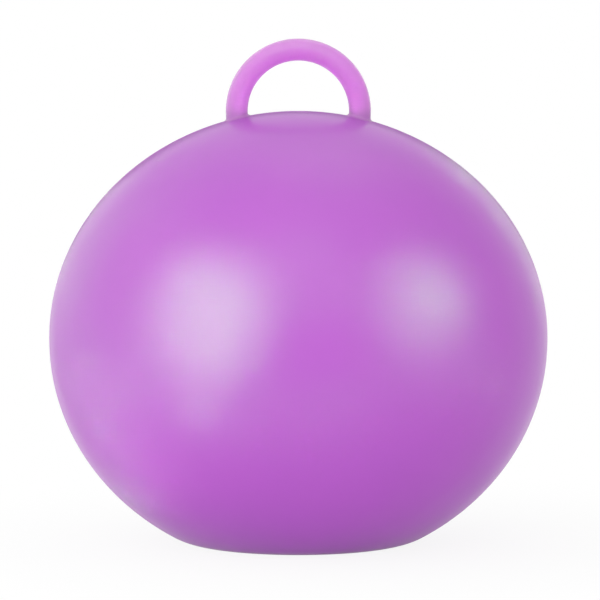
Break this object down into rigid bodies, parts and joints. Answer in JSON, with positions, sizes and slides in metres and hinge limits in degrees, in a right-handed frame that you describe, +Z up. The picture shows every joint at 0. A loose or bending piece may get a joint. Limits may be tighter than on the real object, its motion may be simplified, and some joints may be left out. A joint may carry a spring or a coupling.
{
  "type": "balloon weight",
  "caption": "Ball-shaped plastic weight with a flat foot and a half-round loop on its crown, filled with sand, to which the ribbon of a helium balloon is tied.",
  "frame": {"origin": "centre of the foot, on the surface that the weight stands on", "axes": "+Z up along the ball's axis; the ribbon loop lies in the XZ plane, so its eye looks along Y"},
  "size_m": [0.05, 0.05, 0.0505],
  "materials": {
    "shell_plastic": "satin",
    "loop_plastic": "satin",
    "bung_plastic": "satin",
    "sand": "matte"
  },
  "bodies": {
    "weight": {"body_shell": "shell_plastic", "ribbon_loop": "loop_plastic", "sand_fill": "sand"},
    "bung": {"filler_bung": "bung_plastic"}
  },
  "joints": [
    {"name": "bung_pull", "type": "slide", "parent": "weight", "child": "bung", "axis": [0, 0, -1], "range_m": [0, 0.007]}
  ]
}
